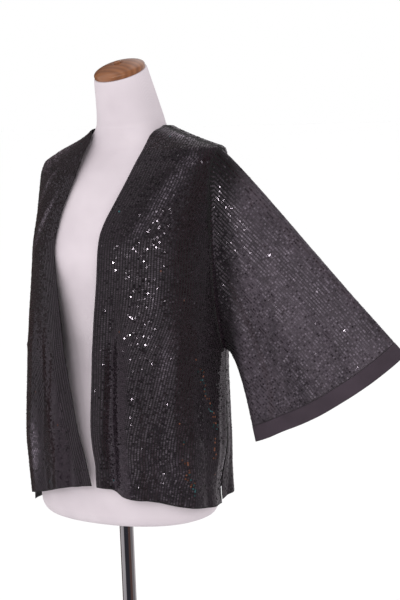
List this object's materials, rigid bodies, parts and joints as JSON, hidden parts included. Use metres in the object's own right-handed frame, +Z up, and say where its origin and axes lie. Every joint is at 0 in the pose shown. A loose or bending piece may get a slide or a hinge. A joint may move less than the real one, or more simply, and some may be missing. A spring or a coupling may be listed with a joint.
{
  "type": "sequinned kimono jacket on a limbless dress form with a stand",
  "caption": "Hip-length open-front jacket with wide flared sleeves, plain cuff bands and side vents, worn by a limbless dress form with a wooden neck cap on a pole and round base.",
  "frame": {"origin": "centre of the underside of the round base, on the floor and on the axis of the pole", "axes": "+Z up, the open front of the jacket faces -Y, +X is the wearer's left"},
  "size_m": [0.8402, 0.4709, 1.5746],
  "materials": {
    "cloth": "near-black knit closely sewn with small dark sequins in rows",
    "band": "plain matt black woven band",
    "cover": "smooth pale jersey cover",
    "wood": "varnished orange-brown wood",
    "steel": "polished chrome"
  },
  "bodies": {
    "root": {"base_plate": "steel", "pole": "steel", "form_body": "cover", "neck_cap": "wood", "cap_plug": "wood", "back_panel": "cloth", "front_panel_left": "cloth", "front_panel_right": "cloth", "sleeve_left": "cloth", "cuff_band_left": "band", "sleeve_right": "cloth", "cuff_band_right": "band"}
  },
  "joints": []
}
